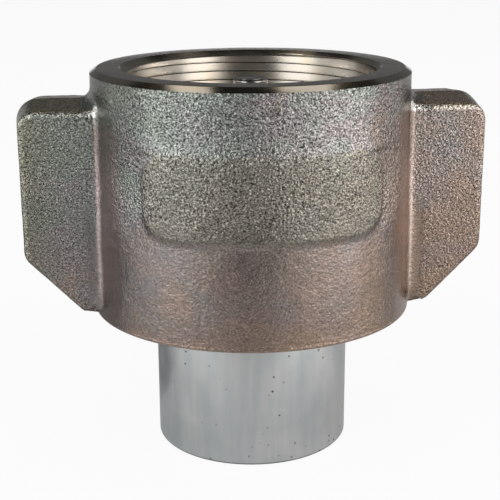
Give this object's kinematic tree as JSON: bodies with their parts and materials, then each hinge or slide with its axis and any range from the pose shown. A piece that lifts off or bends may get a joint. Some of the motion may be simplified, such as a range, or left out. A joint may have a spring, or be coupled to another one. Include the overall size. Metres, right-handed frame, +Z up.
{
  "type": "hammer union",
  "caption": "Female half of a hammer union: a lugged nut that spins on a valved body, with a pipe port in its tail.",
  "frame": {"origin": "centre of the tail's end face, on the axis of the union", "axes": "+Z up the axis, out of the threaded mouth; X through the two hammer lugs; -Y through the raised pad"},
  "size_m": [0.104, 0.073, 0.0869],
  "materials": {
    "nut_forging": "shot-blasted forging, yellow zinc",
    "body_steel": "turned, clear zinc",
    "poppet_steel": "turned and ground",
    "guide_steel": "turned, plain",
    "spring_steel": "phosphated",
    "washer_bronze": "plain",
    "seal_rubber": "moulded",
    "backup_plastic": "moulded"
  },
  "bodies": {
    "coupler": {"coupler_body": "body_steel", "nut_snap_ring": "spring_steel", "valve_guide": "guide_steel", "guide_circlip": "spring_steel", "nose_o_ring": "seal_rubber", "nose_backup_ring": "backup_plastic", "valve_spring": "spring_steel"},
    "washer": {"thrust_washer": "washer_bronze"},
    "nut": {"wing_nut": "nut_forging"},
    "valve": {"poppet": "poppet_steel", "seat_seal": "seal_rubber"}
  },
  "joints": [
    {"name": "nut_float", "type": "slide", "parent": "coupler", "child": "washer", "axis": [0, 0, 1], "range_m": [0, 0.0012]},
    {"name": "nut_spin", "type": "hinge", "parent": "washer", "child": "nut", "pos_m": [0, 0, 0.047], "axis": [0, 0, 1], "continuous": true},
    {"name": "poppet_push", "type": "slide", "parent": "coupler", "child": "valve", "axis": [0, 0, -1], "range_m": [0, 0.0056], "stiffness_N_per_m": 3400, "springref_m": -0.008, "deforming": ["valve_spring"]}
  ]
}
